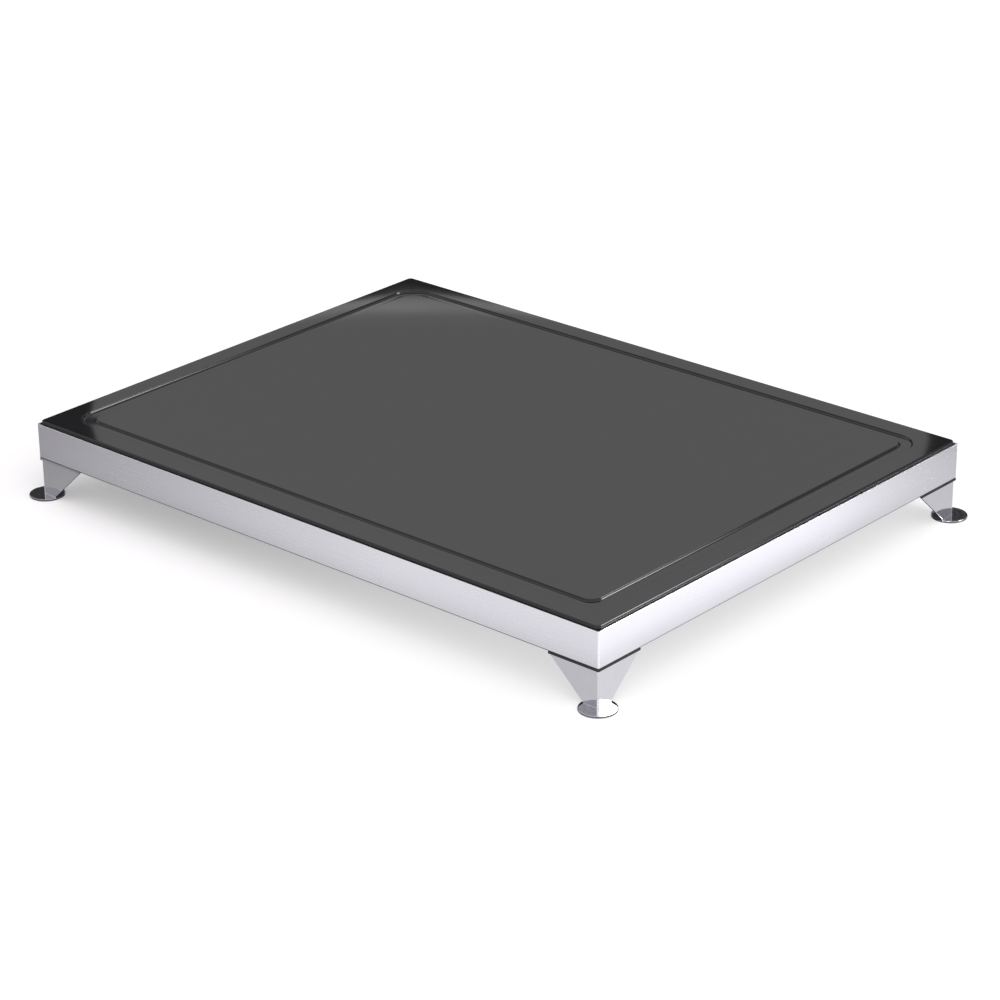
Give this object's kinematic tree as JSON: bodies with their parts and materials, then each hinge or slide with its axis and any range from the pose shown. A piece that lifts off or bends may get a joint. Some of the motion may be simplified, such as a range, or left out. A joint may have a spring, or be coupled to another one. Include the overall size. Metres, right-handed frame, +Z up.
{
  "type": "heated carving station",
  "caption": "Heated carving station: a black stone slab with a juice groove lifts out of a stainless frame on tapered corner legs, with heater and controls inside",
  "frame": {"origin": "centre of the bounding box's base, on the surface that it stands on", "axes": "+X along the long side, +Y to the rear skirt with the controls, +Z up"},
  "size_m": [0.6336, 0.4806, 0.0678],
  "materials": {
    "black_stone": "polished",
    "satin_steel": "satin",
    "polished_steel": "polished",
    "plain_steel": "satin",
    "fastener_steel": "satin",
    "pad_silicone": "matte",
    "seal_rubber": "matte",
    "spreader_aluminium": "satin",
    "mat_silicone": "matte",
    "insulation_fibre": "matte",
    "black_plastic": "satin",
    "red_plastic": "gloss",
    "amber_plastic": "gloss",
    "contact_brass": "satin",
    "board_laminate": "satin",
    "relay_plastic": "gloss",
    "capacitor_sleeve": "gloss",
    "terminal_plastic": "satin",
    "brown_insulation": "satin",
    "blue_insulation": "satin",
    "green_insulation": "satin",
    "grey_insulation": "satin"
  },
  "bodies": {
    "base": {"front_skirt": "satin_steel", "rear_skirt": "satin_steel", "left_skirt": "satin_steel", "right_skirt": "satin_steel", "front_left_leg": "polished_steel", "front_right_leg": "polished_steel", "rear_left_leg": "polished_steel", "rear_right_leg": "polished_steel", "front_left_foot": "polished_steel", "front_right_foot": "polished_steel", "rear_left_foot": "polished_steel", "rear_right_foot": "polished_steel", "front_rail": "plain_steel", "rear_rail": "plain_steel", "left_rail": "plain_steel", "right_rail": "plain_steel", "bottom_pan": "plain_steel", "pan_brackets": "plain_steel", "leg_studs": "fastener_steel", "leg_nuts": "fastener_steel", "pan_screws": "fastener_steel", "inlet_screws": "fastener_steel", "inlet_nuts": "fastener_steel", "dial_nut": "fastener_steel", "lamp_nut": "fastener_steel", "lamp_body": "fastener_steel", "board_screws": "fastener_steel", "earth_stud": "fastener_steel", "earth_nut": "fastener_steel", "slab_pads": "pad_silicone", "leg_seals": "seal_rubber", "heat_spreader": "spreader_aluminium", "heater_rivets": "spreader_aluminium", "temperature_sensor": "spreader_aluminium", "heating_mat": "mat_silicone", "insulation_board": "insulation_fibre", "inlet_housing": "black_plastic", "rocker_housing": "black_plastic", "thermal_cutout": "black_plastic", "dial_body": "black_plastic", "lamp_lens": "amber_plastic", "inlet_pins": "contact_brass", "rocker_contacts": "contact_brass", "board_posts": "contact_brass", "control_board": "board_laminate", "board_relay": "relay_plastic", "board_capacitors": "capacitor_sleeve", "board_terminals": "terminal_plastic", "live_leads": "brown_insulation", "neutral_leads": "blue_insulation", "earth_lead": "green_insulation", "sensor_lead": "grey_insulation", "dial_lead": "grey_insulation", "lamp_lead": "grey_insulation"},
    "slab": {"carving_slab": "black_stone"},
    "rocker": {"rocker_button": "red_plastic"},
    "knob": {"control_knob": "black_plastic", "dial_shaft": "fastener_steel"}
  },
  "joints": [
    {"name": "slab_lift", "type": "slide", "parent": "base", "child": "slab", "axis": [0, 0, 1], "range_m": [0, 0.1]},
    {"name": "power_rocker", "type": "hinge", "parent": "base", "child": "rocker", "pos_m": [-0.159, 0.2275, 0.04565], "axis": [0, 0, 1], "range_deg": [0, 20]},
    {"name": "dial_turn", "type": "hinge", "parent": "base", "child": "knob", "pos_m": [-0.093, 0.2285, 0.04565], "axis": [0, -1, 0], "range_deg": [0, 300]}
  ]
}
